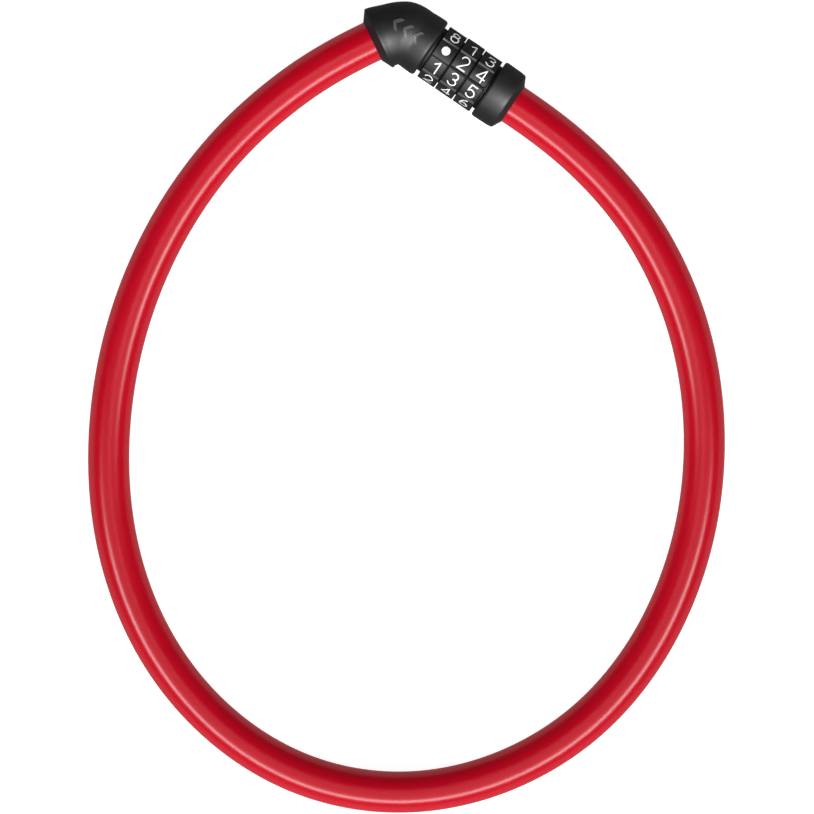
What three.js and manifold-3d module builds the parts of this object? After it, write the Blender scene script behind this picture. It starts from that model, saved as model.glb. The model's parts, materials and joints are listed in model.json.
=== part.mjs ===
// Cable combination lock: a short loop of thick plastic-coated cable whose elbow head
// plugs into a barrel with three number dials. It lies flat, with +Z up, in millimetres.
// +X runs along the dial axis from the head to the end collar, the loop lies towards -Y,
// and the origin is on the small moulded flat under the collar, on the surface it lies on.
import * as THREE from "three";
import { ConvexGeometry } from "three/addons/geometries/ConvexGeometry.js";
import { NURBSCurve } from "three/addons/curves/NURBSCurve.js";
import { mergeVertices } from "three/addons/utils/BufferGeometryUtils.js";
import Module from "manifold-3d";

const wasm = await Module();
wasm.setup();

// ---- driving dimensions ----
const AXIS_Z = 9.0; // height of the dial axis above the surface
const GAP = 0.3; // clearance between pieces that touch
const ROUND_SIDES = 28; // sides of a turned piece
const PIN_SIDES = 12; // sides of a cross pin or its hole
const BIG = 40; // larger than any piece of the barrel or the head

const DIAL_CENTRES = [-20.5, -14.3, -8.1];
const DIAL_FACES = 9;
const DIAL_WIDTH = 5.8;
const DIAL_EDGE_R = 8.8; // from the axis to an edge between two faces
const DIAL_BORE_R = 6.2;
const DIAL_HUB_WIDTH = 5.0; // the narrower middle of a dial, between its washers
const DIAL_HUB_R = 7.2;
const FIRST_EDGE_DEG = 7.8; // first edge between two faces, from +Z towards -Y

const TUBE_BORE_R = 2.35;
const TUBE_R = 3.5;
const TUBE_HEAD_X = -24.4;
const TUBE_BORE_END_X = -4.5;
const CUP_X = [-3.3, 2.2]; // floor and mouth of the tube's cup for the ferrule
const CUP_R = 7.2;
const CUP_WALL_X = -4.1; // back face of the cup
const SLOT_WIDTH = 2.4; // axial slot for the bolt's lugs
const SLOT_END_X = -5.2;

const GATE_WEB = 1.6; // thickness of the web that blocks a lug
const GATE_R = 5.9;
const GATE_BORE_R = 3.8;
const GATE_CHAMBER_R = 4.7; // room for a lug beside the web
const DETENT_GROOVE_R = 0.45;

const LEAF_WIDTH = 1.4; // detent leaf spring
const LEAF_HALF_LENGTH = 1.9;
const LEAF_SEAT_R = 3.05;
const LEAF_CREST_R = 3.68;
const LEAF_THICKNESS = 0.25;
const LEAF_POCKET_R = 2.75;

const BOLT_R = 2.0;
const BOLT_X = [-33.0, -5.8];
const LUG_R = 0.8;
const LUG_TIP_R = 4.25;
const LUG_OFFSET_X = 0.9; // from a dial's centre to its lug

const PIN_R = 0.85; // cross pins
const PIN_HOLE_R = PIN_R + GAP;
const COLLAR_PIN_X = -2.0;
const COLLAR_PIN_HALF = 6.9;
const HEAD_PIN_HALF = 6.4;
const BOLT_PIN_X = -30.0;

const COLLAR_X = [-4.1, 4.2];
const COLLAR_R = 9.25;
const COLLAR_CHAMFER_X = 2.6;
const COLLAR_CAVITY_R = CUP_R + GAP;
const MOUTH_LIP = 0.35; // wall left around the cable at a mouth

const RING_R = 7.25; // thin thrust rings at both ends of the dials
const FRONT_RING_X = [-24.25, -23.65];
const REAR_RING_X = [-4.95, -4.45];

const CABLE_R = 6.0;
const STRAND_R = 3.0;
const SHEATH_BORE_R = STRAND_R + GAP;
const SHEATH_HOLE_R = CABLE_R + GAP;
const FERRULE_R = 4.6;

// The head is an elbow: its cable leg leaves the dial axis at ELBOW_X, ELBOW_DEG off it.
const ELBOW_X = -35.3;
const ELBOW_DEG = 60;
const HEAD_FACE_X = -24.55;
const HEAD_BARREL_R = 9.2;
const HEAD_BARREL_END_X = -31; // the barrel's round part ends inside the elbow here
const ELBOW_HOOPS = [ // round sections of the elbow, each square to its own direction
  { centre: [-30, 0], deg: 0, r: HEAD_BARREL_R - 0.1 },
  { centre: [ELBOW_X, 0], deg: 0, r: HEAD_BARREL_R - 0.3 },
  { centre: [-35.9, -1.4], deg: 30, r: 8.6 },
  { centre: [-37.2, -3.9], deg: 45, r: 8.9 },
];
const HEAD_WALL = 1.7;
const HEAD_CAVITY_X = -26.3;
const NOSE_R = 6.0;
const RIM_R = 9.45;
const RIM_AT = [6.6, 6.9]; // along the cable leg
const MOUTH_AT = 9.0;
const FERRULE_AT = [2.6, 6.7];
const SHEATH_AT = 7.0;
const STRAND_AT = 4.5;
const FERRULE_SLEEVE_AT = 4.2;
const HEAD_PIN_AT = 3.4;

// Control points of the cable's centre line, a cubic B-spline clamped at both ends,
// from inside the collar, round the loop, to inside the head.
const CABLE_ROUTE = [
  [-0.6, 0, 9], [16.5, 0.5, 9], [38, -2, 8.2], [61, -10, 7], [84, -24.5, 6.3],
  [104, -46, 6.1], [119, -73, 6.1], [126.5, -104, 6.1], [124.5, -135, 6.1],
  [112, -162.5, 6.1], [91.5, -184, 6.1], [64.5, -196.5, 6.1], [35, -198, 6.1],
  [6, -189.5, 6.1], [-19.5, -171.5, 6.1], [-39, -147, 6.1], [-52.5, -118.5, 6.1],
  [-59, -89, 6.3], [-59, -61.5, 7], [-54, -37.5, 8.2], [-46.5, -18.5, 9],
  [-37.55, -3.9, 9],
];
const SPLINE_DEGREE = 3;
const CABLE_STEPS = 46;
const CABLE_SIDES = 12;

// ---- colours and finishes ----
const finish = (color, roughness, metalness) =>
  new THREE.MeshStandardMaterial({ color, roughness, metalness });
const BLACK_PLASTIC = () => finish(0x1c1c1e, 0.38, 0);
const RED_PVC = () => finish(0xcc0020, 0.22, 0);
const STEEL = () => finish(0xa8abb0, 0.3, 1);
const ZINC = () => finish(0x8d9096, 0.5, 0.9);
const BRASS = () => finish(0xb08d3e, 0.35, 1);
const SPRING_STEEL = () => finish(0x6f747c, 0.3, 1);

// ---- solids ----
const radians = THREE.MathUtils.degToRad;

// A closed geometry as a manifold solid. Triangles that merging flattens are dropped.
function solid(geometry) {
  const loose = geometry.index ? geometry.toNonIndexed() : geometry;
  const bare = new THREE.BufferGeometry();
  bare.setAttribute("position", loose.getAttribute("position"));
  const merged = mergeVertices(bare, 1e-4);
  const index = merged.index.array;
  const triangles = [];
  for (let i = 0; i < index.length; i += 3) {
    const [a, b, c] = [index[i], index[i + 1], index[i + 2]];
    if (a !== b && b !== c && c !== a) triangles.push(a, b, c);
  }
  return new wasm.Manifold(
    new wasm.Mesh({
      numProp: 3,
      vertProperties: merged.attributes.position.array,
      triVerts: new Uint32Array(triangles),
    }),
  );
}

function cut(from, ...tools) {
  return tools.reduce((rest, tool) => rest.subtract(tool), from);
}

function join(...solids) {
  return solids.reduce((all, one) => all.add(one));
}

// A piece turned about the dial axis. The outline is [x, radius] pairs: the outside
// runs towards +X and a bore runs back towards -X.
function turned(outline) {
  const points = outline.map(([x, r]) => new THREE.Vector2(r, x));
  const lathe = new THREE.LatheGeometry(points, ROUND_SIDES);
  lathe.rotateZ(-Math.PI / 2);
  lathe.translate(0, 0, AXIS_Z);
  return solid(lathe);
}

function disc(x0, x1, r) {
  return turned([[x0, 0], [x0, r], [x1, r], [x1, 0]]);
}

function ring(x0, x1, bore, r) {
  return turned([[x0, bore], [x0, r], [x1, r], [x1, bore], [x0, bore]]);
}

function block(x0, x1, y0, y1, z0, z1) {
  const box = new THREE.BoxGeometry(x1 - x0, y1 - y0, z1 - z0);
  box.translate((x0 + x1) / 2, (y0 + y1) / 2, (z0 + z1) / 2);
  return solid(box);
}

// An upright round pin or hole between two heights.
function upright(x, y, r, z0, z1) {
  const pin = new THREE.CylinderGeometry(r, r, z1 - z0, PIN_SIDES);
  pin.rotateX(Math.PI / 2);
  pin.translate(x, y, (z0 + z1) / 2);
  return solid(pin);
}

// A round pin or hole across the barrel, along Y, at the dial axis's height.
function across(x, r, half) {
  const pin = new THREE.CylinderGeometry(r, r, 2 * half, PIN_SIDES);
  pin.translate(x, 0, AXIS_Z);
  return solid(pin);
}

// The slot for the lugs, above the axis, up to a radius.
function lugSlot(x0, x1, r) {
  return block(x0, x1, -SLOT_WIDTH / 2, SLOT_WIDTH / 2, AXIS_Z, AXIS_Z + r);
}

// ---- the barrel ----
function coreTube() {
  const body = turned([
    [TUBE_BORE_END_X, 0], [TUBE_BORE_END_X, TUBE_BORE_R], [TUBE_HEAD_X, TUBE_BORE_R],
    [TUBE_HEAD_X, TUBE_R], [CUP_WALL_X, TUBE_R], [CUP_WALL_X, CUP_R],
    [CUP_X[1], CUP_R], [CUP_X[1], FERRULE_R + GAP], [CUP_X[0], FERRULE_R + GAP],
    [CUP_X[0], 0],
  ]);
  const pockets = DIAL_CENTRES.map((x) => {
    const half = LEAF_HALF_LENGTH + GAP;
    const side = LEAF_WIDTH / 2 + GAP;
    const leafX = webCentre(x);
    return block(leafX - half, leafX + half, -side, side,
      AXIS_Z - BIG, AXIS_Z - LEAF_POCKET_R);
  });
  const slot = lugSlot(TUBE_HEAD_X - 1, SLOT_END_X, TUBE_R + 1);
  return cut(body, slot, across(COLLAR_PIN_X, PIN_HOLE_R, CUP_R + 1), ...pockets);
}

function webCentre(dialX) {
  return dialX - DIAL_HUB_WIDTH / 2 + GATE_WEB / 2;
}

function endCollar() {
  const [back, mouth] = COLLAR_X;
  const body = turned([
    [back, COLLAR_CAVITY_R], [back, COLLAR_R - 0.4], [back + 0.4, COLLAR_R],
    [COLLAR_CHAMFER_X, COLLAR_R - 0.35], [mouth, SHEATH_HOLE_R + MOUTH_LIP],
    [mouth, SHEATH_HOLE_R], [CUP_X[1] + GAP, SHEATH_HOLE_R],
    [CUP_X[1] + GAP, COLLAR_CAVITY_R], [back, COLLAR_CAVITY_R],
  ]);
  return aboveSurface(body);
}

// Cuts the flat that a piece lies on.
function aboveSurface(body) {
  return body.subtract(block(-2 * BIG, BIG, -BIG, BIG, -BIG, 0));
}

function collarFerrule() {
  const [floor, mouth] = CUP_X;
  const body = turned([
    [floor + GAP, 0], [floor + GAP, FERRULE_R], [mouth, FERRULE_R],
    [mouth, STRAND_R + GAP], [CABLE_ROUTE[0][0] - GAP, STRAND_R + GAP],
    [CABLE_ROUTE[0][0] - GAP, 0],
  ]);
  return cut(body, across(COLLAR_PIN_X, PIN_HOLE_R, CUP_R));
}

function frontRing() {
  const [x0, x1] = FRONT_RING_X;
  return cut(ring(x0, x1, GATE_BORE_R, RING_R), lugSlot(x0 - 1, x1 + 1, GATE_CHAMBER_R));
}

function detentLeaf(dialX) {
  const seat = -LEAF_SEAT_R;
  const crest = -LEAF_CREST_R;
  const leaf = new THREE.Shape();
  leaf.moveTo(-LEAF_HALF_LENGTH, seat);
  leaf.quadraticCurveTo(0, 2 * crest - seat, LEAF_HALF_LENGTH, seat);
  leaf.lineTo(LEAF_HALF_LENGTH, seat + LEAF_THICKNESS);
  leaf.quadraticCurveTo(0, 2 * crest - seat + LEAF_THICKNESS, -LEAF_HALF_LENGTH,
    seat + LEAF_THICKNESS);
  leaf.closePath();
  const strip = new THREE.ExtrudeGeometry(leaf, {
    depth: LEAF_WIDTH, bevelEnabled: false, curveSegments: 6,
  });
  strip.translate(0, 0, -LEAF_WIDTH / 2);
  strip.rotateX(Math.PI / 2);
  strip.translate(webCentre(dialX), 0, AXIS_Z);
  return solid(strip);
}

// ---- dials ----
function dial(centre) {
  const outline = new THREE.Shape();
  for (let face = 0; face < DIAL_FACES; face += 1) {
    const angle = radians(FIRST_EDGE_DEG + (face * 360) / DIAL_FACES);
    const p = -DIAL_EDGE_R * Math.cos(angle);
    const q = -DIAL_EDGE_R * Math.sin(angle);
    if (face === 0) outline.moveTo(p, q);
    else outline.lineTo(p, q);
  }
  outline.closePath();
  const prism = new THREE.ExtrudeGeometry(outline, {
    depth: DIAL_WIDTH, bevelEnabled: false,
  });
  prism.rotateY(Math.PI / 2);
  prism.translate(centre - DIAL_WIDTH / 2, 0, AXIS_Z);
  const hub = DIAL_HUB_WIDTH / 2;
  return cut(
    solid(prism),
    disc(centre - DIAL_WIDTH, centre + DIAL_WIDTH, DIAL_BORE_R),
    disc(centre - DIAL_WIDTH, centre - hub, DIAL_HUB_R),
    disc(centre + hub, centre + DIAL_WIDTH, DIAL_HUB_R),
  );
}

// The ring inside a dial: a web with one gate that lets the lug through, a chamber
// where the lug rests, and a groove for the detent leaf at each number.
function gateRing(centre) {
  const left = centre - DIAL_HUB_WIDTH / 2;
  const right = centre + DIAL_HUB_WIDTH / 2;
  const web = left + GATE_WEB;
  const body = turned([
    [left, GATE_BORE_R], [left, GATE_R], [right, GATE_R], [right, GATE_CHAMBER_R],
    [web, GATE_CHAMBER_R], [web, GATE_BORE_R], [left, GATE_BORE_R],
  ]);
  const grooves = [];
  for (let number = 0; number < DIAL_FACES; number += 1) {
    const angle = Math.PI + (number * 2 * Math.PI) / DIAL_FACES;
    const groove = new THREE.CylinderGeometry(
      DETENT_GROOVE_R, DETENT_GROOVE_R, 2 * GATE_WEB, 8,
    );
    groove.rotateZ(Math.PI / 2);
    groove.translate(left + GATE_WEB / 2, -GATE_BORE_R * Math.sin(angle),
      AXIS_Z + GATE_BORE_R * Math.cos(angle));
    grooves.push(solid(groove));
  }
  return cut(body, lugSlot(left - 1, web + 0.1, GATE_CHAMBER_R), ...grooves);
}

// ---- the elbow head ----
const LEG = new THREE.Vector2(
  -Math.cos(radians(ELBOW_DEG)), -Math.sin(radians(ELBOW_DEG)),
);

// A point on the cable leg's axis, a distance from the elbow.
function onLeg(along) {
  return [ELBOW_X + along * LEG.x, along * LEG.y];
}

// Points of a circle about the elbow's centre line, whose plane is turned by an angle.
function hoop([x, y], turnDeg, r) {
  const points = [];
  const side = new THREE.Vector2(-Math.sin(radians(turnDeg)), Math.cos(radians(turnDeg)));
  for (let i = 0; i < ROUND_SIDES; i += 1) {
    const angle = (i * 2 * Math.PI) / ROUND_SIDES;
    const out = r * Math.sin(angle);
    points.push(new THREE.Vector3(
      x + out * side.x, y + out * side.y, AXIS_Z + r * Math.cos(angle),
    ));
  }
  return points;
}

// The elbow between the barrel and the cable leg, smaller all round by an inset.
function elbow(inset, legEnd) {
  const hoops = ELBOW_HOOPS.map(({ centre, deg, r }) => hoop(centre, deg, r - inset));
  return solid(new ConvexGeometry([...hoops.flat(), ...legEnd]));
}

// A round piece along the cable leg.
function onLegDisc(from, to, r) {
  return solid(new ConvexGeometry([
    ...hoop(onLeg(from), ELBOW_DEG, r),
    ...hoop(onLeg(to), ELBOW_DEG, r),
  ]));
}

function headForm() {
  const rim = [
    ...hoop(onLeg(RIM_AT[0]), ELBOW_DEG, RIM_R),
    ...hoop(onLeg(RIM_AT[1]), ELBOW_DEG, RIM_R),
    ...hoop(onLeg(MOUTH_AT), ELBOW_DEG, SHEATH_HOLE_R + MOUTH_LIP),
  ];
  const barrel = turned([
    [HEAD_BARREL_END_X, 0], [HEAD_BARREL_END_X, HEAD_BARREL_R],
    [HEAD_FACE_X - 0.5, HEAD_BARREL_R],
    [HEAD_FACE_X, HEAD_BARREL_R - 0.5], [HEAD_FACE_X, 0],
  ]);
  return aboveSurface(join(barrel, elbow(0, rim)));
}

// The head's form, smaller all round by an inset, from a face on the barrel to a place on
// the leg: the room inside the covers, and the core that fills it.
function headInside(inset, faceX, legEnd) {
  const rim = hoop(onLeg(legEnd), ELBOW_DEG, RIM_R - inset);
  return join(
    disc(HEAD_BARREL_END_X, faceX, HEAD_BARREL_R - inset),
    elbow(inset, rim),
  );
}

function headCovers() {
  const hollow = cut(
    headForm(),
    headInside(HEAD_WALL, HEAD_CAVITY_X, SHEATH_AT - GAP / 2),
    disc(HEAD_CAVITY_X - 0.7, HEAD_FACE_X + 1, NOSE_R + GAP),
    onLegDisc(SHEATH_AT - 1, MOUTH_AT + 1, SHEATH_HOLE_R),
  );
  const split = GAP / 2;
  const lower = block(-2 * BIG, BIG, -BIG, BIG, -BIG, AXIS_Z + split);
  const upper = block(-2 * BIG, BIG, -BIG, BIG, AXIS_Z - split, BIG);
  return { upper: cut(hollow, lower), lower: cut(hollow, upper) };
}

function headCore() {
  const body = join(
    headInside(HEAD_WALL + GAP, HEAD_CAVITY_X - GAP, FERRULE_AT[1]),
    disc(HEAD_CAVITY_X - 1.7, HEAD_FACE_X, NOSE_R),
  );
  const [pinX, pinY] = onLeg(HEAD_PIN_AT);
  return cut(
    body,
    disc(BOLT_X[0] - GAP, 0, TUBE_BORE_R),
    onLegDisc(FERRULE_AT[0] - GAP, FERRULE_AT[1] + 2, FERRULE_R + GAP),
    upright(BOLT_PIN_X, 0, PIN_HOLE_R, -BIG, BIG),
    upright(pinX, pinY, PIN_HOLE_R, -BIG, BIG),
  );
}

function headFerrule() {
  const [pinX, pinY] = onLeg(HEAD_PIN_AT);
  return cut(
    onLegDisc(FERRULE_AT[0], FERRULE_AT[1], FERRULE_R),
    onLegDisc(FERRULE_SLEEVE_AT, FERRULE_AT[1] + 1, STRAND_R + GAP),
    upright(pinX, pinY, PIN_HOLE_R, -BIG, BIG),
  );
}

function bolt() {
  const [root, tip] = BOLT_X;
  const body = turned([
    [root, 0], [root, BOLT_R], [tip - 0.7, BOLT_R], [tip, BOLT_R - 0.7], [tip, 0],
  ]);
  const holes = DIAL_CENTRES.map((x) =>
    upright(x + LUG_OFFSET_X, 0, LUG_R + GAP, -BIG, BIG));
  return cut(body, upright(BOLT_PIN_X, 0, PIN_HOLE_R, -BIG, BIG), ...holes);
}

// ---- the cable ----
function clampedKnots(count) {
  const knots = [];
  for (let i = 0; i < count + SPLINE_DEGREE + 1; i += 1) {
    knots.push(THREE.MathUtils.clamp(i - SPLINE_DEGREE, 0, count - SPLINE_DEGREE));
  }
  return knots;
}

const route = new NURBSCurve(
  SPLINE_DEGREE,
  clampedKnots(CABLE_ROUTE.length),
  CABLE_ROUTE.map(([x, y, z]) => new THREE.Vector4(x, y, z, 1)),
);
route.arcLengthDivisions = 2000;
const ROUTE_LENGTH = route.getLength();

// The stretch of the route between two distances from its start.
class Stretch extends THREE.Curve {
  constructor(from, to) {
    super();
    this.from = from / ROUTE_LENGTH;
    this.to = to / ROUTE_LENGTH;
  }

  getPoint(t, target) {
    return route.getPointAt(this.from + (this.to - this.from) * t, target);
  }
}

function regular(sides, r, PathClass) {
  const path = new PathClass();
  for (let i = 0; i < sides; i += 1) {
    const angle = ((i + 0.5) * 2 * Math.PI) / sides;
    if (i === 0) path.moveTo(r * Math.cos(angle), r * Math.sin(angle));
    else path.lineTo(r * Math.cos(angle), r * Math.sin(angle));
  }
  path.closePath();
  return path;
}

function along(stretch, section) {
  return solid(new THREE.ExtrudeGeometry(section, {
    steps: CABLE_STEPS, bevelEnabled: false, extrudePath: stretch,
  }));
}

function cableSheath() {
  const section = regular(CABLE_SIDES, CABLE_R, THREE.Shape);
  section.holes.push(regular(8, SHEATH_BORE_R, THREE.Path));
  const inCollar = CUP_X[1] + GAP - CABLE_ROUTE[0][0];
  const inHead = SHEATH_AT - STRAND_AT;
  return along(new Stretch(inCollar, ROUTE_LENGTH - inHead), section);
}

function cableStrand() {
  return along(new Stretch(0, ROUTE_LENGTH), regular(8, STRAND_R, THREE.Shape));
}

// ---- assembly ----
const lock = new THREE.Group();

function place(name, body, material) {
  const { vertProperties, triVerts } = body.getMesh();
  const geometry = new THREE.BufferGeometry();
  geometry.setAttribute("position", new THREE.BufferAttribute(vertProperties, 3));
  geometry.setIndex(new THREE.BufferAttribute(triVerts, 1));
  geometry.computeVertexNormals();
  const mesh = new THREE.Mesh(geometry, material);
  mesh.name = name;
  lock.add(mesh);
}

place("core_tube", coreTube(), ZINC());
place("front_ring", frontRing(), BLACK_PLASTIC());
place("rear_ring", ring(...REAR_RING_X, GATE_BORE_R, RING_R), BLACK_PLASTIC());
place("end_collar", endCollar(), BLACK_PLASTIC());
place("collar_ferrule", collarFerrule(), BRASS());
place("collar_pin", across(COLLAR_PIN_X, PIN_R, COLLAR_PIN_HALF), STEEL());
place("cable_sheath", cableSheath(), RED_PVC());
place("cable_strand", cableStrand(), STEEL());

DIAL_CENTRES.forEach((x, i) => {
  place(`dial_${i + 1}`, dial(x), BLACK_PLASTIC());
  place(`gate_ring_${i + 1}`, gateRing(x), ZINC());
  place(`detent_leaf_${i + 1}`, detentLeaf(x), SPRING_STEEL());
  const lugX = x + LUG_OFFSET_X;
  const lug = upright(lugX, 0, LUG_R, AXIS_Z - BOLT_R + GAP, AXIS_Z + LUG_TIP_R);
  place(`bolt_lug_${i + 1}`, lug, STEEL());
});

DIAL_CENTRES.slice(1).forEach((x, i) => {
  const between = (x + DIAL_CENTRES[i]) / 2;
  const washer = ring(between - GAP, between + GAP, GATE_CHAMBER_R + 0.2, DIAL_HUB_R - 0.2);
  place(`dial_washer_${i + 1}`, washer, STEEL());
});

const covers = headCovers();
place("head_cover_top", covers.upper, BLACK_PLASTIC());
place("head_cover_bottom", covers.lower, BLACK_PLASTIC());
place("head_core", headCore(), ZINC());
place("bolt", bolt(), STEEL());
const boltPin = upright(
  BOLT_PIN_X, 0, PIN_R, AXIS_Z - HEAD_PIN_HALF, AXIS_Z + HEAD_PIN_HALF,
);
place("bolt_pin", boltPin, STEEL());
place("head_ferrule", headFerrule(), BRASS());
const ferrulePin = upright(
  ...onLeg(HEAD_PIN_AT), PIN_R, AXIS_Z - HEAD_PIN_HALF, AXIS_Z + HEAD_PIN_HALF,
);
place("ferrule_pin", ferrulePin, STEEL());

export default lock;
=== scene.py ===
"""Looks of the cable combination lock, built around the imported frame.

The lock lies flat with +Z up. +X runs along the dial axis from the elbow head to the end
collar, and the cable's loop lies towards -Y. Lengths are metres, written as millimetres * MM.
"""

import json
import math

import bmesh
import bpy
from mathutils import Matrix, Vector
from mathutils.bvhtree import BVHTree

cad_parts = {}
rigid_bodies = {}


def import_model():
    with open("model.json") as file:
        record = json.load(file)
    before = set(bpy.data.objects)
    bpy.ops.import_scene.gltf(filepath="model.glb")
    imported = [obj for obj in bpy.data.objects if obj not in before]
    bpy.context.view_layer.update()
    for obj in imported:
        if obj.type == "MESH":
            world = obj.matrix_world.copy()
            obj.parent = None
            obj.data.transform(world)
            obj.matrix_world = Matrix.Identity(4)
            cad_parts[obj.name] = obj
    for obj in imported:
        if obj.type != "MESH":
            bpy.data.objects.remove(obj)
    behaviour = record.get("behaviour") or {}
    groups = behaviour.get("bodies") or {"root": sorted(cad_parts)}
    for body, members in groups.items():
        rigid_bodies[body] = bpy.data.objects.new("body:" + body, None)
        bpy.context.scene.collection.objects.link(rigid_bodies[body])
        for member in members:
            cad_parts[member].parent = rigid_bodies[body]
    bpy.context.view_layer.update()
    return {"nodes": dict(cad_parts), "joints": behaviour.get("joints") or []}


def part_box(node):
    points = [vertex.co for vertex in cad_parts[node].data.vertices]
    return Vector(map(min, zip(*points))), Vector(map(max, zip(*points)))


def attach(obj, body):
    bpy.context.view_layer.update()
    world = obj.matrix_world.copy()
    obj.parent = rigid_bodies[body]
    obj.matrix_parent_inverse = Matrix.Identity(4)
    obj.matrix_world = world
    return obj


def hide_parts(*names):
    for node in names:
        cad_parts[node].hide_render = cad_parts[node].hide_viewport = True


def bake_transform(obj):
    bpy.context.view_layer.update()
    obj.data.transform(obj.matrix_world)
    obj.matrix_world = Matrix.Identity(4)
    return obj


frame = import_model()

MM = 0.001

# ---- facts taken from the frame ----
DIAL_JOINTS = [j for j in frame["joints"] if j["name"].startswith("dial_")]
DIAL_X = [j["pos_m"][0] for j in DIAL_JOINTS]
AXIS_Z = DIAL_JOINTS[0]["pos_m"][2]
HEAD_FACE_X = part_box("head_core")[1].x
COLLAR_BACK_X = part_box("end_collar")[0].x
COLLAR_MOUTH_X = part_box("end_collar")[1].x

# ---- the cable's route, the same points as in the CAD part, in metres ----
CABLE_ROUTE = [Vector(p) * MM for p in (
    (-0.6, 0, 9), (16.5, 0.5, 9), (38, -2, 8.2), (61, -10, 7), (84, -24.5, 6.3),
    (104, -46, 6.1), (119, -73, 6.1), (126.5, -104, 6.1), (124.5, -135, 6.1),
    (112, -162.5, 6.1), (91.5, -184, 6.1), (64.5, -196.5, 6.1), (35, -198, 6.1),
    (6, -189.5, 6.1), (-19.5, -171.5, 6.1), (-39, -147, 6.1), (-52.5, -118.5, 6.1),
    (-59, -89, 6.3), (-59, -61.5, 7), (-54, -37.5, 8.2), (-46.5, -18.5, 9),
    (-37.55, -3.9, 9),
)]
CABLE_R = 6.0 * MM
STRAND_R = 3.0 * MM
STRAND_WIRES = 6
STRAND_LAY = 34 * MM  # length of one full twist
SHEATH_BORE_R = 3.25 * MM
SHEATH_INSET = (3.1 * MM, 2.5 * MM)  # from the strand's ends to the sheath's ends

# ---- view ----
VIEW_TURN = math.radians(34.2)  # the camera's right lies this far round from +X
VIEW_AIM = Vector((28.1, -89.8, 8.0)) * MM
VIEW_WIDTH = 236.06 * MM
LENS_MM = 900  # a long lens, for next to no perspective
SENSOR_MM = 36
VIEW_CLIP = 20  # metres: the camera stands about six metres off

scene = bpy.context.scene


# ---- small helpers ----
def curve_through(knots, x):
    """Value at x of a smooth curve through (x, y) knots, with the chords' mean slopes."""
    last = len(knots) - 1
    i = 0
    while i < last - 1 and x > knots[i + 1][0]:
        i += 1
    (x0, y0), (x1, y1) = knots[i], knots[i + 1]

    def slope(k):
        (xa, ya), (xb, yb) = knots[max(k - 1, 0)], knots[min(k + 1, last)]
        return (yb - ya) / (xb - xa)

    run = x1 - x0
    t = (x - x0) / run
    start = (1 + 2 * t) * (1 - t) ** 2 * y0 + t * (1 - t) ** 2 * run * slope(i)
    end = t * t * (3 - 2 * t) * y1 + t * t * (t - 1) * run * slope(i + 1)
    return start + end


def new_object(name, verts, faces, material, sharp_deg=35):
    mesh = bpy.data.meshes.new(name)
    mesh.from_pydata([tuple(v) for v in verts], [], faces)
    mesh.validate()
    obj = bpy.data.objects.new(name, mesh)
    scene.collection.objects.link(obj)
    bm = bmesh.new()
    bm.from_mesh(mesh)
    bmesh.ops.recalc_face_normals(bm, faces=bm.faces)
    bm.to_mesh(mesh)
    bm.free()
    smooth(mesh, sharp_deg)
    obj.data.materials.append(material)
    return obj


def smooth(mesh, sharp_deg):
    mesh.polygons.foreach_set("use_smooth", [True] * len(mesh.polygons))
    mesh.set_sharp_from_angle(angle=math.radians(sharp_deg))


def grid_faces(rows, columns, close_rows, close_columns):
    """Quads between neighbouring rows of a grid of vertices."""
    faces = []
    for i in range(rows if close_rows else rows - 1):
        for j in range(columns if close_columns else columns - 1):
            a = i * columns + j
            b = i * columns + (j + 1) % columns
            c = ((i + 1) % rows) * columns + (j + 1) % columns
            d = ((i + 1) % rows) * columns + j
            faces.append((a, b, c, d))
    return faces


def keep(piece, body, slot, *nodes):
    """piece rides on a body and stands for CAD nodes, which it hides; slot is not used."""
    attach(piece, body)
    if nodes:
        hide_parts(*nodes)
    return piece


# ---- material nodes ----
class Shader:
    """A node tree, with a short way to add linked nodes."""

    def __init__(self, tree):
        self.tree = tree
        tree.nodes.clear()

    def add(self, kind, settings=None, **inputs):
        node = self.tree.nodes.new(kind)
        for key, value in (settings or {}).items():
            setattr(node, key, value)
        for key, value in inputs.items():
            self.feed(node.inputs[key.replace("_", " ")], value)
        return node

    def feed(self, socket, value):
        if isinstance(value, bpy.types.NodeSocket):
            self.tree.links.new(value, socket)
        else:
            socket.default_value = value

    def math(self, operation, *values):
        node = self.tree.nodes.new("ShaderNodeMath")
        node.operation = operation
        for socket, value in zip(node.inputs, values):
            self.feed(socket, value)
        return node.outputs[0]

    def ramp(self, value, low, high, out_low=0.0, out_high=1.0):
        """A smooth step of value from low to high."""
        node = self.add(
            "ShaderNodeMapRange", {"interpolation_type": "SMOOTHSTEP"},
            Value=value, From_Min=low, From_Max=high, To_Min=out_low, To_Max=out_high,
        )
        return node.outputs["Result"]

    def noise(self, scale, detail=2.0, roughness=0.5, stretch=None):
        """Noise over the object, with scale as features to a metre."""
        place = self.add("ShaderNodeTexCoord").outputs["Object"]
        if stretch:
            place = self.add("ShaderNodeMapping", Vector=place, Scale=stretch).outputs[0]
        node = self.add(
            "ShaderNodeTexNoise", Vector=place, Scale=scale, Detail=detail,
            Roughness=roughness,
        )
        return node.outputs["Fac"]

    def mix(self, factor, a, b):
        node = self.tree.nodes.new("ShaderNodeMix")
        node.data_type = "RGBA"
        self.feed(node.inputs["Factor"], factor)
        self.feed(node.inputs["A"], a)
        self.feed(node.inputs["B"], b)
        return node.outputs["Result"]

    def bump(self, height, strength, distance, normal=None):
        node = self.add(
            "ShaderNodeBump", Height=height, Strength=strength, Distance=distance,
        )
        if normal:
            self.feed(node.inputs["Normal"], normal)
        return node.outputs["Normal"]


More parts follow.
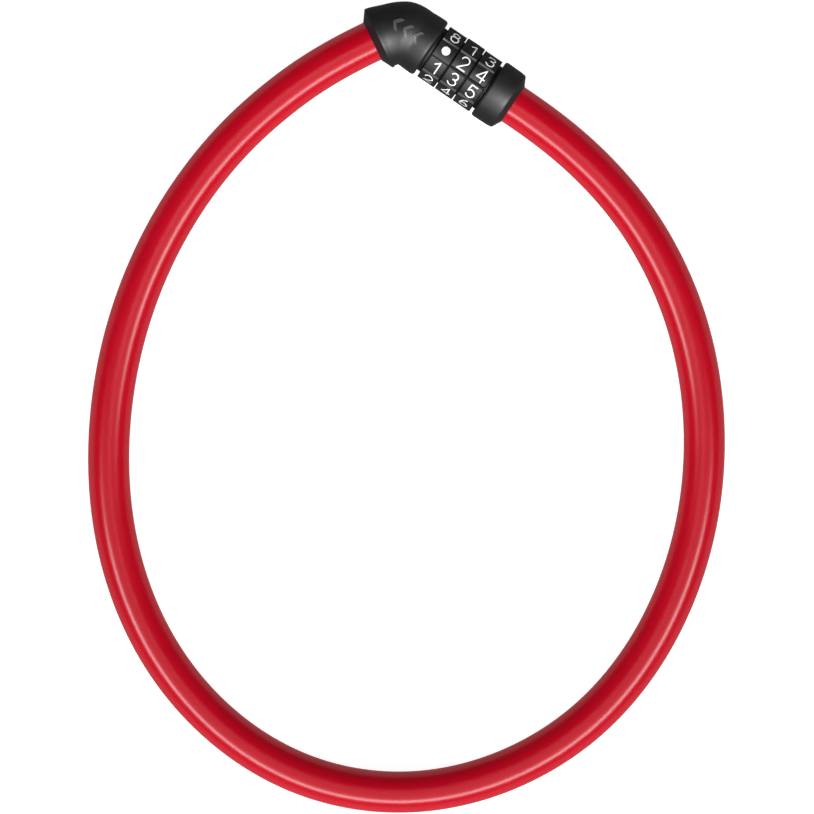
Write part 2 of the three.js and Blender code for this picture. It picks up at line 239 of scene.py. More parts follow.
def new_material(name):
    material = bpy.data.materials.new(name)
    material.use_nodes = True
    shader = Shader(material.node_tree)
    surface = shader.add("ShaderNodeBsdfPrincipled")
    output = shader.add("ShaderNodeOutputMaterial")
    shader.feed(output.inputs["Surface"], surface.outputs[0])
    return material, shader, surface


def red_pvc():
    """Glossy soft PVC: slightly wavy from extrusion, with a faint grain and dull patches."""
    material, shader, surface = new_material("red_pvc")
    cloud = shader.noise(90, detail=3)
    speck = shader.noise(900, detail=2)
    colour = shader.mix(cloud, (0.60, 0.0005, 0.012, 1), (0.68, 0.002, 0.022, 1))
    shader.feed(surface.inputs["Base Color"], colour)
    rough = shader.math("ADD", shader.ramp(speck, 0.3, 0.8, 0.0, 0.03), 0.21)
    shader.feed(surface.inputs["Roughness"], rough)
    wave = shader.bump(shader.noise(160, detail=1), 0.2, 0.1 * MM)
    grain = shader.bump(shader.noise(2600, detail=2), 0.05, 0.01 * MM, wave)
    shader.feed(surface.inputs["Normal"], grain)
    surface.inputs["IOR"].default_value = 1.65
    return material


def black_plastic(name, base, rough, grain_size):
    """Satin moulded plastic with a fine spark-eroded grain and rubbed spots."""
    material, shader, surface = new_material(name)
    cloud = shader.noise(220, detail=4, roughness=0.6)
    low = (base * 0.8, base * 0.8, base * 0.85, 1)
    high = (base * 1.35, base * 1.35, base * 1.4, 1)
    shader.feed(surface.inputs["Base Color"], shader.mix(cloud, low, high))
    rubbed = shader.ramp(shader.noise(420, detail=5, roughness=0.7), 0.35, 0.75)
    rough_value = shader.math("MULTIPLY_ADD", rubbed, 0.07, rough)
    shader.feed(surface.inputs["Roughness"], rough_value)
    grain = shader.noise(grain_size, detail=3, roughness=0.6)
    shader.feed(surface.inputs["Normal"], shader.bump(grain, 0.35, 0.012 * MM))
    surface.inputs["Specular IOR Level"].default_value = 0.3
    return material


def white_ink():
    """Pad-printed ink: dense white, a little uneven."""
    material, shader, surface = new_material("white_ink")
    cloud = shader.noise(1500, detail=3)
    colour = shader.mix(cloud, (0.35, 0.35, 0.36, 1), (0.42, 0.42, 0.42, 1))
    shader.feed(surface.inputs["Base Color"], colour)
    shader.feed(surface.inputs["Roughness"], shader.ramp(cloud, 0.2, 0.8, 0.45, 0.6))
    grain = shader.noise(5000, detail=2)
    shader.feed(surface.inputs["Normal"], shader.bump(grain, 0.2, 0.01 * MM))
    return material


def metal(name, colour, rough, brushed=None, pitted=0.0):
    """Machined, drawn or cast metal: brushed gives the stretch of its fine lines."""
    material, shader, surface = new_material(name)
    lines = shader.noise(2500, detail=3, stretch=brushed)
    dull = tuple(c * 0.72 for c in colour) + (1,)
    shader.feed(surface.inputs["Base Color"], shader.mix(lines, dull, colour + (1,)))
    shader.feed(
        surface.inputs["Roughness"],
        shader.ramp(shader.noise(300, detail=4), 0.25, 0.75, rough * 0.8, rough * 1.3),
    )
    surface.inputs["Metallic"].default_value = 1.0
    height = lines
    if pitted:
        height = shader.noise(1800, detail=4, roughness=0.7)
    normal = shader.bump(height, 0.3 + pitted, 0.02 * MM)
    shader.feed(surface.inputs["Normal"], normal)
    return material


ALONG_X = (0.05, 1, 1)
RED_PVC = red_pvc()
BLACK = black_plastic("black_plastic", 0.004, 0.46, 5200)
DIAL_BLACK = black_plastic("dial_plastic", 0.004, 0.45, 6500)
RUBBED_BLACK = black_plastic("rubbed_plastic", 0.03, 0.4, 5200)
WHITE_INK = white_ink()
STEEL = metal("hardened_steel", (0.56, 0.57, 0.58), 0.25, ALONG_X)
SPRING_STEEL = metal("spring_steel", (0.42, 0.44, 0.48), 0.28, ALONG_X)
BLUED_STEEL = metal("blued_steel", (0.035, 0.037, 0.045), 0.5)
ZINC = metal("die_cast_zinc", (0.46, 0.47, 0.49), 0.42, pitted=0.4)
BRASS = metal("brass", (0.72, 0.52, 0.2), 0.3, ALONG_X)
STRAND = metal("strand_steel", (0.5, 0.51, 0.52), 0.3)


# ---- the cable ----
def cable_line():
    """Closely spaced points of the clamped cubic B-spline that the route's points steer."""
    degree = 3
    count = len(CABLE_ROUTE)
    knots = [min(max(i - degree, 0), count - degree) for i in range(count + degree + 1)]

    def point(t):
        span = min(int(t), count - degree - 1) + degree
        work = [CABLE_ROUTE[span - degree + i].copy() for i in range(degree + 1)]
        for level in range(1, degree + 1):
            for i in range(degree, level - 1, -1):
                left = knots[span - degree + i]
                right = knots[span + 1 + i - level]
                work[i] = work[i - 1].lerp(work[i], (t - left) / (right - left))
        return work[degree]

    steps = 4000  # about one to every 0.14 mm
    return [point((count - degree) * i / steps) for i in range(steps + 1)]


def stretch_of(line, from_start, from_end, spacing):
    """Evenly spaced points of a line, less a length at each end."""
    lengths = [0.0]
    for a, b in zip(line, line[1:]):
        lengths.append(lengths[-1] + (b - a).length)
    start = from_start
    end = lengths[-1] - from_end
    count = max(2, round((end - start) / spacing))
    points = []
    at = 0
    for i in range(count + 1):
        wanted = start + (end - start) * i / count
        while at < len(lengths) - 2 and lengths[at + 1] < wanted:
            at += 1
        share = (wanted - lengths[at]) / (lengths[at + 1] - lengths[at])
        points.append(line[at].lerp(line[at + 1], share))
    return points


def frames_along(points):
    """(point, outward, upward) at each point: outward is level, upward square to both."""
    frames = []
    for i, point in enumerate(points):
        ahead = points[min(i + 1, len(points) - 1)]
        behind = points[max(i - 1, 0)]
        tangent = (ahead - behind).normalized()
        outward = Vector((-tangent.y, tangent.x, 0)).normalized()
        frames.append((point, outward, tangent.cross(outward) * -1))
    return frames


def sheath(points):
    """The coating: a thick tube, open at both ends onto the strand."""
    sides = 56
    verts = []
    frames = frames_along(points)
    outer = [(f, CABLE_R) for f in frames]
    inner = [(f, SHEATH_BORE_R) for f in reversed(frames)]
    for (centre, out, up), radius in outer + inner:
        for j in range(sides):
            angle = 2 * math.pi * j / sides
            verts.append(centre + radius * (math.cos(angle) * out + math.sin(angle) * up))
    faces = grid_faces(len(outer) + len(inner), sides, True, True)
    return new_object("cable_coating", verts, faces, RED_PVC)


def strand(points):
    """Wires laid round each other: a lobed section that twists along the cable."""
    sides = 36
    verts = []
    frames = frames_along(points)
    run = 0.0
    for i, (centre, out, up) in enumerate(frames):
        if i:
            run += (centre - frames[i - 1][0]).length
        for j in range(sides):
            angle = 2 * math.pi * j / sides
            twist = 2 * math.pi * run / STRAND_LAY
            lobe = abs(math.sin(STRAND_WIRES / 2 * (angle - twist)))
            radius = STRAND_R * (0.82 + 0.17 * lobe ** 0.6)  # grooves between round wires
            verts.append(centre + radius * (math.cos(angle) * out + math.sin(angle) * up))
    faces = grid_faces(len(frames), sides, False, True)
    faces.append(tuple(reversed(range(sides))))
    last = (len(frames) - 1) * sides
    faces.append(tuple(range(last, last + sides)))
    return new_object("steel_strand", verts, faces, STRAND, 60)


CENTRE_LINE = cable_line()
SHEATH_LINE = stretch_of(CENTRE_LINE, *SHEATH_INSET, 2.0 * MM)
coating = sheath(SHEATH_LINE)
core = strand(stretch_of(CENTRE_LINE, 0, 0, 1.5 * MM))

# The coating and the strand keep the places they are built in, and stand for the CAD cable
# nodes, which are hidden.
for piece, slot, node in (
    (coating, "red_pvc", "cable_sheath"), (core, "strand_steel", "cable_strand"),
):
    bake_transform(piece)
    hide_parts(node)


# ---- turned parts ----
def turned(name, outline, material, sides=128, flat=False, sharp_deg=35):
    """A ring turned about the dial axis: outline is a closed loop of (x, radius) in mm."""
    verts = []
    for x, radius in outline:
        for j in range(sides):
            angle = 2 * math.pi * j / sides
            z = AXIS_Z + radius * MM * math.cos(angle)
            verts.append((x * MM, radius * MM * math.sin(angle), max(z, 0) if flat else z))
    faces = grid_faces(len(outline), sides, True, True)
    return new_object(name, verts, faces, material, sharp_deg)


COLLAR_LIP = 0.25  # how far the shell reaches past the CAD collar's back, in mm
COLLAR_BORE_R = 7.6
COLLAR_SKIN = (  # (distance from the shell's back, radius) round its back edge, in mm
    (0.02, COLLAR_BORE_R), (0.02, 8.55), (0.12, 8.86), (0.34, 9.08), (0.62, 9.19), (1.0, 9.22),
)
COLLAR_NOSE = (  # (x, radius) from the grip to the cone's end
    (1.2, 9.12), (2.25, 8.98), (2.62, 8.88), (2.82, 8.68), (3.86, 6.62), (4.02, 6.36),
)
MOUTH_R = 6.03  # the hole that the cable comes out of, just clear of the coating
COLLAR_CAVITY_X = 2.5


def end_collar():
    back = COLLAR_BACK_X / MM - COLLAR_LIP
    mouth = COLLAR_MOUTH_X / MM
    outline = [(back + run, radius) for run, radius in COLLAR_SKIN]
    outline += COLLAR_NOSE
    outline += [(mouth - 0.02, 6.2), (mouth - 0.03, 6.08), (mouth - 0.2, MOUTH_R)]
    outline += [(COLLAR_CAVITY_X, MOUTH_R), (COLLAR_CAVITY_X, COLLAR_BORE_R)]
    return turned("collar_shell", outline, BLACK, flat=True)


THRUST_RING_R = 7.25
THRUST_RING_EDGE = 0.09  # rounding of its edges
RUNNING_GAP = 0.02  # between a ring and the parts on both sides of it


def thrust_ring(name, low_x, high_x, bore):
    """A thin ring that fills the space from low_x to high_x, less a running gap."""
    x0 = low_x + RUNNING_GAP
    x1 = high_x - RUNNING_GAP
    radius = THRUST_RING_R
    soft = THRUST_RING_EDGE
    outline = [
        (x0, bore), (x0, radius - 2 * soft), (x0 + 0.3 * soft, radius - 0.8 * soft),
        (x0 + soft, radius - 0.2 * soft), (x0 + 2 * soft, radius),
        (x1 - 2 * soft, radius), (x1 - soft, radius - 0.2 * soft),
        (x1 - 0.3 * soft, radius - 0.8 * soft), (x1, radius - 2 * soft), (x1, bore),
    ]
    return turned(name, outline, BLACK, sides=96)


DIAL_HALF = 2.96  # half a dial's width, in mm
DIALS_START = DIAL_X[0] / MM - DIAL_HALF
DIALS_END = DIAL_X[-1] / MM + DIAL_HALF
COLLAR_START = COLLAR_BACK_X / MM - COLLAR_LIP + COLLAR_SKIN[0][0]

keep(end_collar(), "barrel", "black_plastic", "end_collar")
keep(thrust_ring("front_thrust_ring", HEAD_FACE_X / MM, DIALS_START, bore=4.8),
     "barrel", "black_plastic", "front_ring")
keep(thrust_ring("rear_thrust_ring", DIALS_END, COLLAR_START, bore=3.8),
     "barrel", "black_plastic", "rear_ring")


# ---- the elbow head ----
ELBOW = Vector((-35.3, 0))  # where the cable leg leaves the dial axis, in mm
LEG_DEG = 60
LEG = Vector((-math.cos(math.radians(LEG_DEG)), -math.sin(math.radians(LEG_DEG))))
PIVOT = Vector((-29.8, -10.8))  # the bend's sections all turn about this upright line
OUTER_REACH = ((0, 19.85), (12, 20.15), (21, 20.15), (33, 19.6), (47, 19.15), (60, 19.6))
INNER_REACH = ((0, 1.7), (20, 1.25), (40, 0.95), (60, 0.7))
BEND_STEP_DEG = 2.5
WALL = 1.7
SEAM_GAP = 0.05
FACE_X = HEAD_FACE_X / MM
HEAD_BORE_R = 7.5
CORE_SEAT_X = -26.4  # where the head's wall steps in to the metal core's face
HEAD_RIM = (  # (distance from the face, radius) round the barrel's rim, in mm
    (0, 8.45), (0.08, 8.74), (0.26, 8.99), (0.52, 9.15), (0.85, 9.22), (1.4, 9.24),
    (3.0, 9.2), (4.4, 9.12),
)
HEAD_MOUTH = (  # (distance along the leg, radius) down the cone to the cable's hole
    (6.86, 9.44), (7.03, 9.36), (7.14, 9.2), (8.6, 6.75), (8.8, 6.42), (8.93, 6.24),
    (8.95, 6.14), (8.85, 6.08),
)
HEAD_OPENING = (  # (x, radius) of the round opening that the metal core's face fills
    (CORE_SEAT_X, 6.3), (FACE_X - 0.1, 6.25), (FACE_X, 6.35),
)
CABLE_HOLE_R = 6.08
CABLE_SEAT = 7.1  # distance along the leg at which the hole opens into the cavity


def barrel_section(x, radius):
    return (Vector((x, 0)), 0.0, radius)


def bend_section(turn_deg, inset=0.0):
    outer = curve_through(OUTER_REACH, turn_deg)
    inner = curve_through(INNER_REACH, turn_deg)
    turn = math.radians(turn_deg)
    outward = Vector((-math.sin(turn), math.cos(turn)))
    return (PIVOT + outward * (outer + inner) / 2, turn, (outer - inner) / 2 - inset)


def leg_section(along, radius):
    return (ELBOW + LEG * along, math.radians(LEG_DEG), radius)


def head_sections():
    """Sections of the head's wall: the skin from the barrel's face to the cable's mouth,
    then back along the inside."""
    bend = [BEND_STEP_DEG * i for i in range(round(LEG_DEG / BEND_STEP_DEG) + 1)]
    sections = [barrel_section(FACE_X - run, radius) for run, radius in HEAD_RIM]
    sections += [bend_section(turn) for turn in bend]
    sections += [leg_section(along, radius) for along, radius in HEAD_MOUTH]
    sections += [leg_section(CABLE_SEAT, CABLE_HOLE_R), leg_section(CABLE_SEAT, HEAD_BORE_R)]
    sections += [bend_section(turn, WALL) for turn in reversed(bend)]
    sections.append(barrel_section(CORE_SEAT_X, HEAD_BORE_R))
    sections += [barrel_section(x, radius) for x, radius in HEAD_OPENING]
    return sections


def head_half(name, sign):
    """Half of the head's wall: sign is 1 above the parting plane and -1 below it."""
    steps = 72
    edge = 0.14  # rounding of the parting edge
    verts = []
    for centre, turn, radius in head_sections():
        outward = Vector((-math.sin(turn), math.cos(turn)))
        for j in range(steps + 1):
            angle = math.pi * j / steps
            lift = radius * math.sin(angle)
            trim = edge * max(0.0, 1 - lift / edge) ** 2
            flat = centre + outward * math.cos(angle) * (radius - trim)
            z = AXIS_Z / MM + sign * (SEAM_GAP / 2 + lift)
            verts.append((flat.x * MM, flat.y * MM, max(z, 0) * MM))
    rows = len(head_sections())
    faces = grid_faces(rows, steps + 1, True, False)
    faces.append(tuple(i * (steps + 1) for i in range(rows)))
    faces.append(tuple(i * (steps + 1) + steps for i in reversed(range(rows))))
    return new_object(name, verts, faces, BLACK, 32)


head_top = head_half("head_shell_top", 1)
head_bottom = head_half("head_shell_bottom", -1)
keep(head_top, "head", "black_plastic", "head_cover_top")
keep(head_bottom, "head", "black_plastic", "head_cover_bottom")


# ---- dials ----
FACES = 9
FACE_STEP = 360 / FACES
READING_FACE_DEG = -12.2  # the face beside the top one, from +Z towards -Y
READING_SYMBOL = (0, 2, 4)  # symbol on that face of each dial: 0 is the dot
RIDGE_R = 8.85
SUNK_R = 8.4  # the digits' faces
FLANGE_R = 8.58
DOT_R = (8.43, 8.83)  # the dot's face, at its upper and its lower edge
WALL_DEG = (-20, -19.6, -16.7, 16.7, 19.6)  # ridge, top and foot of one face's walls
HUB_HALF = 2.5
RECESS_R = (7.25, 7.2)  # the recess in each end of a dial, at its mouth and at its foot
HUB_BORE_R = 6.2
DIAL_EDGE = (  # (distance from the dial's end, drop of the skin) round its edge, in mm
    (0.0, 0.9), (0.01, 0.45), (0.04, 0.24), (0.1, 0.09), (0.17, 0.01), (0.26, 0.0),
)
CELL_START = 0.4  # from the dial's end to the digits' cells
DOT_MARK_R = 1.3


def face_angle(dial, symbol):
    return READING_FACE_DEG + FACE_STEP * (symbol - READING_SYMBOL[dial])


def face_radius(symbol, turn_deg):
    """Radius of a face this far round from its middle, between the feet of its walls."""
    if symbol:
        return SUNK_R
    share = (turn_deg - WALL_DEG[2]) / (WALL_DEG[3] - WALL_DEG[2])
    return DOT_R[0] + (DOT_R[1] - DOT_R[0]) * share


def face_outline(symbol):
    """(turn from the face's middle in degrees, radius) from one ridge to the next."""
    first, top, foot, far_foot, far_top = WALL_DEG
    points = [(first, RIDGE_R), (top, RIDGE_R - 0.02)]
    steps = 12
    for i in range(steps + 1):
        turn = foot + (far_foot - foot) * i / steps
        points.append((turn, face_radius(symbol, turn)))
    points.append((far_top, RIDGE_R - 0.02))
    return points


def ring_point(x, turn_deg, radius):
    turn = math.radians(turn_deg)
    return (x * MM, -radius * MM * math.sin(turn), AXIS_Z + radius * MM * math.cos(turn))


def dial_mesh(dial):
    centre = DIAL_X[dial] / MM
    panel = []
    for symbol in range(FACES):
        middle = face_angle(dial, symbol)
        panel += [(middle + turn, radius) for turn, radius in face_outline(symbol)]
    border = [(turn, max(radius, FLANGE_R)) for turn, radius in panel]
    low = [(-DIAL_HALF + run, border, drop) for run, drop in DIAL_EDGE]
    low.append((-DIAL_HALF + CELL_START, panel, 0.0))
    stations = low + [(-x, ring, drop) for x, ring, drop in reversed(low)]
    verts = []
    for x, ring, drop in stations:
        verts += [ring_point(centre + x, turn, radius - drop) for turn, radius in ring]
    mouth, foot = RECESS_R
    hub = (
        (DIAL_HALF, mouth), (HUB_HALF, foot), (HUB_HALF, HUB_BORE_R),
        (-HUB_HALF, HUB_BORE_R), (-HUB_HALF, foot), (-DIAL_HALF, mouth),
    )
    for x, radius in hub:
        verts += [ring_point(centre + x, turn, radius) for turn, _ in border]
    faces = grid_faces(len(stations) + len(hub), len(border), True, True)
    return new_object(f"number_dial_{dial + 1}", verts, faces, DIAL_BLACK, 28)


# Digits are strokes on a 2.5 x 4.05 mm field: straight lines and arcs, in mm.
def arc(cx, cy, rx, ry, start_deg, end_deg, steps=20):
    points = []
    for i in range(steps + 1):
        angle = math.radians(start_deg + (end_deg - start_deg) * i / steps)
        points.append((cx + rx * math.cos(angle), cy + ry * math.sin(angle)))
    return points


DIGIT_STROKES = {
    1: [[(-0.72, 0.9), (0.6, 2.0)], [(0.6, 2.02), (0.6, -2.02)]],
    2: [arc(0, 0.87, 1.2, 1.15, 172, -30) + [(-1.22, -1.98)],
        [(-1.27, -2.02), (1.27, -2.02)]],
    3: [arc(-0.08, 1.04, 1.08, 0.98, 155, -90), arc(-0.08, -0.92, 1.24, 1.1, 90, -155)],
    4: [[(0.66, 2.02), (-1.3, -0.85)], [(-1.34, -0.88), (1.34, -0.88)],
        [(0.66, 2.02), (0.66, -2.02)]],
    5: [[(1.12, 2.02), (-0.78, 2.02)], [(-0.78, 2.02), (-1.02, 0.1)],
        arc(0.02, -0.7, 1.24, 1.3, 140, -152)],
    6: [arc(0, -0.8, 1.2, 1.22, 0, 360, 32), arc(1.02, -0.7, 2.2, 2.75, 180, 98)],
    7: [[(-1.2, 2.02), (1.2, 2.02)], [(1.2, 2.02), (-0.35, -2.02)]],
    8: [arc(0, 1.06, 1.0, 0.96, 0, 360, 28), arc(0, -0.92, 1.22, 1.1, 0, 360, 32)],
}
STROKE_HALF = 0.205
DIGIT_SHIFT = 0.2  # the digits stand this far right of their faces' middle
INK_HEIGHT = 0.045
STROKE_SECTION = (  # (share of the half width, share of the ink's height) across a stroke
    (-1, -0.4), (-0.97, 0.35), (-0.8, 0.8), (0, 1), (0.8, 0.8), (0.97, 0.35), (1, -0.4),
)
DOT_SECTION = ((1, -0.4), (0.995, 0.4), (0.95, 0.9), (0.85, 1.1), (0.4, 1.25))


class Ink:
    """Raised ink on the faces of one dial, gathered into one mesh."""

    def __init__(self, dial):
        self.dial = dial
        self.verts = []
        self.faces = []

    def place(self, symbol, x, y, height):
        """A point x across and y up a face, this high above it, in mm."""
        turn = -math.degrees(y / SUNK_R)
        radius = face_radius(symbol, turn) + height
        angle = face_angle(self.dial, symbol) + turn
        shift = DIGIT_SHIFT if symbol else 0.0
        self.verts.append(ring_point(DIAL_X[self.dial] / MM + x + shift, angle, radius))

    def close(self, base, rows, columns):
        """Skin rows of columns points each, placed from base on, and cap both ends."""
        for face in grid_faces(rows, columns, False, True):
            self.faces.append(tuple(base + v for v in face))
        last = base + (rows - 1) * columns
        self.faces.append(tuple(reversed(range(base, base + columns))))
        self.faces.append(tuple(range(last, last + columns)))

    def stroke(self, symbol, path):
        """A line of even width with round ends and a softly crowned top."""
        stations = round_cap(path[0], unit(path[0], path[1]), -1)
        for i, spot in enumerate(path):
            along = unit(path[max(i - 1, 0)], path[min(i + 1, len(path) - 1)])
            stations.append((spot, along, 1.0))
        stations += reversed(round_cap(path[-1], unit(path[-2], path[-1]), 1))
        base = len(self.verts)
        for (x, y), (tx, ty), width in stations:
            for across, height in STROKE_SECTION:
                reach = across * STROKE_HALF * width
                self.place(symbol, x - ty * reach, y + tx * reach, height * INK_HEIGHT)
        self.close(base, len(stations), len(STROKE_SECTION))

    def dot(self, radius):
        sides = 64
        base = len(self.verts)
        for share, height in DOT_SECTION:
            for j in range(sides):
                angle = 2 * math.pi * j / sides
                self.place(0, radius * share * math.cos(angle),
                           radius * share * math.sin(angle), height * INK_HEIGHT)
        self.close(base, len(DOT_SECTION), sides)


def round_cap(end, along, side):
    """(spot, direction, width) of a stroke's end, from the tip in; side is -1 at its start."""
    cap = []
    for turn_deg in (88, 60, 30):
        reach = side * STROKE_HALF * math.sin(math.radians(turn_deg))
        spot = (end[0] + along[0] * reach, end[1] + along[1] * reach)
        cap.append((spot, along, math.cos(math.radians(turn_deg))))
    return cap


def unit(a, b):
    dx, dy = b[0] - a[0], b[1] - a[1]
    size = math.hypot(dx, dy)
    return (dx / size, dy / size)


def dense(path, spacing=0.25):
    """The path with extra points, so that straight strokes follow the face's curve."""
    points = [path[0]]
    for a, b in zip(path, path[1:]):
        count = max(1, math.ceil(math.dist(a, b) / spacing))
        for i in range(1, count + 1):
            points.append((a[0] + (b[0] - a[0]) * i / count, a[1] + (b[1] - a[1]) * i / count))
    return points


def dial_digits(dial):
    ink = Ink(dial)
    ink.dot(DOT_MARK_R)
    for symbol, strokes in DIGIT_STROKES.items():
        for path in strokes:
            ink.stroke(symbol, dense(path))
    return new_object(f"dial_print_{dial + 1}", ink.verts, ink.faces, WHITE_INK, 50)


for index in range(len(DIAL_X)):
    body = f"dial_{index + 1}_body"
    keep(dial_mesh(index), body, "dial_plastic", f"dial_{index + 1}")
    keep(dial_digits(index), body, "dial_plastic")


# ---- the raised mark on the head: plain chevrons that show which way the head pulls ----
MARK_TIPS = (-38.1, -34.6, -31.1)  # X of the chevrons' points, in mm
MARK_Y = 0.4
MARK_RUN = 1.6  # length, half height and stroke of a chevron
MARK_RISE = 1.95
MARK_STROKE = 1.15
MARK_HEIGHT = 0.42
MARK_LEVELS = (  # (share of the full outline, height over the skin) from the root up
    (1.0, -0.15), (0.99, MARK_HEIGHT * 0.6), (0.93, MARK_HEIGHT), (0.5, MARK_HEIGHT),
)


def raised_mark():
    """Raised chevrons that follow the head's skin: each is two slanted bars."""
    cuts = 6  # pieces of each side of a bar, to follow the skin
    tree = BVHTree.FromObject(head_top, bpy.context.evaluated_depsgraph_get())
    verts = []
    faces = []
    for tip in MARK_TIPS:
        for side in (1, -1):
            corners = [(0, 0), (MARK_RUN, side * MARK_RISE),
                       (MARK_RUN + MARK_STROKE, side * MARK_RISE), (MARK_STROKE, 0)]
            outline = []
            for a, b in zip(corners, corners[1:] + corners[:1]):
                outline += [Vector(a).lerp(Vector(b), i / cuts) for i in range(cuts)]
            middle = sum(outline, Vector((0, 0))) / len(outline)
            base = len(verts)
            for share, lift in MARK_LEVELS:
                for spot in outline:
                    at = Vector((tip, MARK_Y)) + middle + (spot - middle) * share
                    spot_above = Vector((at.x * MM, at.y * MM, 1))
                    ground, normal, _, _ = tree.ray_cast(spot_above, Vector((0, 0, -1)))
                    verts.append(ground + (normal if normal.z > 0 else -normal) * lift * MM)
            for face in grid_faces(len(MARK_LEVELS), len(outline), False, True):
                faces.append(tuple(base + v for v in face))
            top = base + (len(MARK_LEVELS) - 1) * len(outline)
            faces.append(tuple(range(top, top + len(outline))))
            faces.append(tuple(reversed(range(base, base + len(outline)))))
    return new_object("pull_chevrons", verts, faces, RUBBED_BLACK, 40)


keep(raised_mark(), "head", "black_plastic")


# ---- CAD nodes that stay: a finish each, and smooth turned sides ----
KEPT_NODES = {
    "core_tube": ZINC, "collar_ferrule": BRASS, "collar_pin": STEEL, "head_core": ZINC,
    "bolt": STEEL, "bolt_pin": STEEL, "head_ferrule": BRASS, "ferrule_pin": STEEL,
}
for number in (1, 2, 3):
    KEPT_NODES[f"gate_ring_{number}"] = ZINC
    KEPT_NODES[f"detent_leaf_{number}"] = SPRING_STEEL
    KEPT_NODES[f"bolt_lug_{number}"] = STEEL
for number in (1, 2):
    KEPT_NODES[f"dial_washer_{number}"] = BLUED_STEEL
for node, material in KEPT_NODES.items():
    mesh = frame["nodes"][node].data
    mesh.materials.clear()
    mesh.materials.append(material)
    smooth(mesh, 35)


# ---- camera ----
def make_camera():
    data = bpy.data.cameras.new("camera")
    data.lens = LENS_MM
    data.sensor_width = SENSOR_MM
    camera = bpy.data.objects.new("camera", data)
    scene.collection.objects.link(camera)
    distance = LENS_MM / SENSOR_MM * VIEW_WIDTH
    camera.location = VIEW_AIM + Vector((0, 0, distance))
    camera.rotation_euler = (0, 0, VIEW_TURN)
    data.clip_end = VIEW_CLIP
    scene.camera = camera


make_camera()


# ---- light ----
# A tilted ring of light round the front half of the sky, with a dim glow inside it towards
# the back. The sides are named as in the picture: the front is towards its lower edge.
RING_TILT_DEG = 12
RING_POLAR_DEG = 43.5
RING_HALF_WIDTH_DEG = 7
RING_LEVEL = 5.4
FILL_LEVEL = 0.4
DARK_LEVEL = 0.02
RING_EDGE_DEG = 2  # softness of the ring's edges
FILL_EDGE_DEG = 8
RING_FADE = (-0.24, -0.02)  # the ray's up-the-picture part over which the ring fades out
FILL_FADE = (-0.02, 0.1)


def make_world():
    """The sky that lights and mirrors in the lock; the camera itself sees it white."""
    world = bpy.data.worlds.new("studio")
    world.use_nodes = True
    scene.world = world
    shader = Shader(world.node_tree)
    ray = shader.add("ShaderNodeTexCoord").outputs["Generated"]
    level_ray = shader.add(
        "ShaderNodeVectorRotate", {"rotation_type": "Z_AXIS"}, Vector=ray, Angle=-VIEW_TURN,
    ).outputs[0]
    tilted_ray = shader.add(
        "ShaderNodeVectorRotate", {"rotation_type": "X_AXIS"}, Vector=level_ray,
        Angle=-math.radians(RING_TILT_DEG),
    ).outputs[0]
    parts = shader.add("ShaderNodeSeparateXYZ", Vector=level_ray).outputs
    tilted = shader.add("ShaderNodeSeparateXYZ", Vector=tilted_ray).outputs
    polar = shader.math("DEGREES", shader.math("ARCCOSINE", tilted["Z"]))
    off_ring = shader.math("ABSOLUTE", shader.math("SUBTRACT", polar, RING_POLAR_DEG))
    ring_edges = (RING_HALF_WIDTH_DEG - RING_EDGE_DEG, RING_HALF_WIDTH_DEG + RING_EDGE_DEG)
    ring = shader.ramp(off_ring, *ring_edges, 1.0, 0.0)
    ring = shader.math("MULTIPLY", ring, shader.ramp(parts["Y"], *RING_FADE, 1.0, 0.0))
    fill = shader.ramp(polar, RING_POLAR_DEG, RING_POLAR_DEG + FILL_EDGE_DEG, 1.0, 0.0)
    fill = shader.math("MULTIPLY", fill, shader.ramp(parts["Y"], *FILL_FADE, 1.0, 0.0))
    ring_light = shader.math("MULTIPLY", ring, RING_LEVEL)
    fill_light = shader.math("MULTIPLY", fill, FILL_LEVEL)
    lit = shader.math("ADD", shader.math("ADD", ring_light, fill_light), DARK_LEVEL)
    seen = shader.add("ShaderNodeLightPath").outputs["Is Camera Ray"]
    unseen = shader.math("SUBTRACT", 1.0, seen)
    strength = shader.math("ADD", shader.math("MULTIPLY", lit, unseen), seen)
    sky = shader.add("ShaderNodeBackground", Color=(1, 1, 1, 1), Strength=strength)
    output = shader.add("ShaderNodeOutputWorld")
    shader.feed(output.inputs["Surface"], sky.outputs[0])


SOFTBOX_POLAR_DEG = 26  # from straight overhead
SOFTBOX_TURN_DEG = -64  # from the picture's right
SOFTBOX_DISTANCE = 1.2
SOFTBOX_SIZE = 0.7
SOFTBOX_WATTS = 40


def make_softbox():
    """A softbox for all but the cable, nearly overhead and a little to the front."""
    polar = math.radians(SOFTBOX_POLAR_DEG)
    turn = math.radians(SOFTBOX_TURN_DEG) + VIEW_TURN
    direction = Vector((
        math.sin(polar) * math.cos(turn), math.sin(polar) * math.sin(turn), math.cos(polar),
    ))
    data = bpy.data.lights.new("softbox", "AREA")
    data.shape = "DISK"
    data.size = SOFTBOX_SIZE
    data.energy = SOFTBOX_WATTS
    box = bpy.data.objects.new("softbox", data)
    scene.collection.objects.link(box)
    box.location = Vector((DIAL_X[0], 0, AXIS_Z)) + direction * SOFTBOX_DISTANCE
    box.rotation_euler = direction.to_track_quat("Z", "Y").to_euler()
    lit = bpy.data.collections.new("lit_by_softbox")
    for obj in scene.objects:
        if obj.type == "MESH" and obj not in (coating, core):
            lit.objects.link(obj)
    box.light_linking.receiver_collection = lit


FILL_SPOT_DEG = 36
FILL_WATTS = 5
FILL_SOURCE_R = 0.15
FILL_HEIGHT = 0.6
FILL_UP_PICTURE = 0.055  # how far it stands towards the picture's upper edge


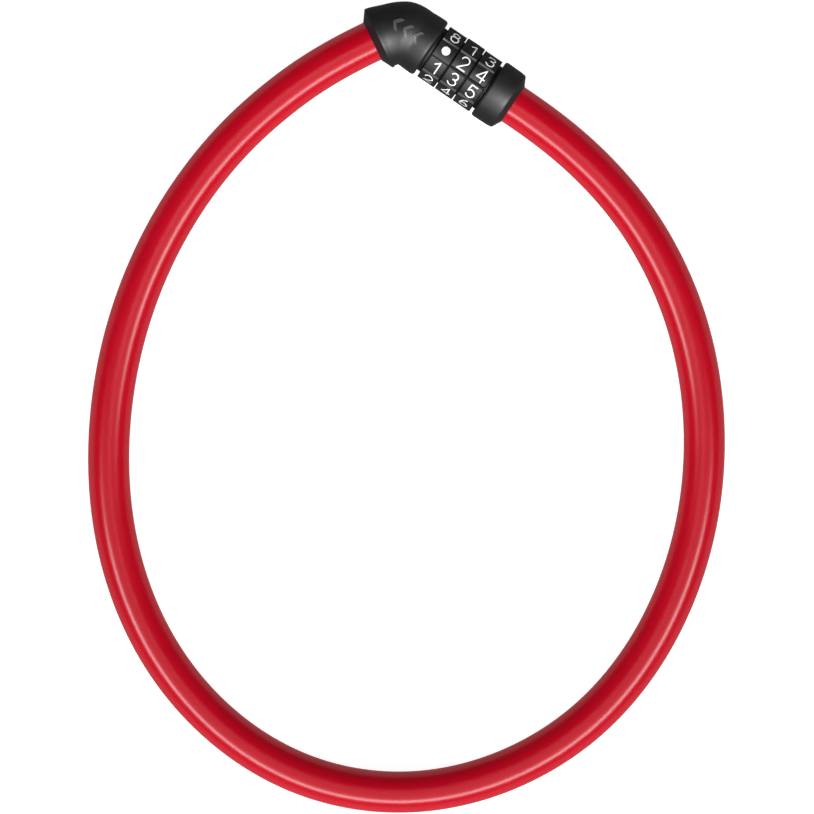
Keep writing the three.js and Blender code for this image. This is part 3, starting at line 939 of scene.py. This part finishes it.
def make_fill():
    """A soft fill over the upper part of the picture, which leaves no highlight."""
    data = bpy.data.lights.new("fill", "SPOT")
    data.spot_size = math.radians(FILL_SPOT_DEG)
    data.spot_blend = 1.0
    data.shadow_soft_size = FILL_SOURCE_R
    data.energy = FILL_WATTS
    fill = bpy.data.objects.new("fill", data)
    scene.collection.objects.link(fill)
    up = Vector((-math.sin(VIEW_TURN), math.cos(VIEW_TURN), 0))
    fill.location = VIEW_AIM + up * FILL_UP_PICTURE + Vector((0, 0, FILL_HEIGHT))
    fill.visible_glossy = False


FLOOR_SIZE = 40
FLOOR_GREY = 0.5
FLOOR_GLOW = 0.9
FLOOR_GLOW_IN_GLOSS = 0.22  # what a shiny surface sees of the floor


def make_floor():
    """A white floor that glows, so that it stays white beside the lock, but mirrors dimly."""
    bpy.ops.mesh.primitive_plane_add(size=FLOOR_SIZE, location=(0, 0, 0))
    floor = bpy.context.object
    floor.name = "floor"
    material = bpy.data.materials.new("floor")
    material.use_nodes = True
    shader = Shader(material.node_tree)
    white = (1, 1, 1, 1)
    grey = (FLOOR_GREY, FLOOR_GREY, FLOOR_GREY, 1)
    card = shader.add("ShaderNodeBsdfDiffuse", Color=grey)
    glow = shader.add("ShaderNodeEmission", Color=white, Strength=FLOOR_GLOW)
    both = shader.add("ShaderNodeAddShader")
    shader.feed(both.inputs[0], card.outputs[0])
    shader.feed(both.inputs[1], glow.outputs[0])
    dim = shader.add("ShaderNodeEmission", Color=white, Strength=FLOOR_GLOW_IN_GLOSS)
    choose = shader.add("ShaderNodeMixShader")
    glossy = shader.add("ShaderNodeLightPath").outputs["Is Glossy Ray"]
    shader.feed(choose.inputs[0], glossy)
    shader.feed(choose.inputs[1], both.outputs[0])
    shader.feed(choose.inputs[2], dim.outputs[0])
    output = shader.add("ShaderNodeOutputMaterial")
    shader.feed(output.inputs["Surface"], choose.outputs[0])
    floor.data.materials.append(material)


make_world()
make_softbox()
make_fill()
make_floor()
scene.view_settings.view_transform = "Standard"
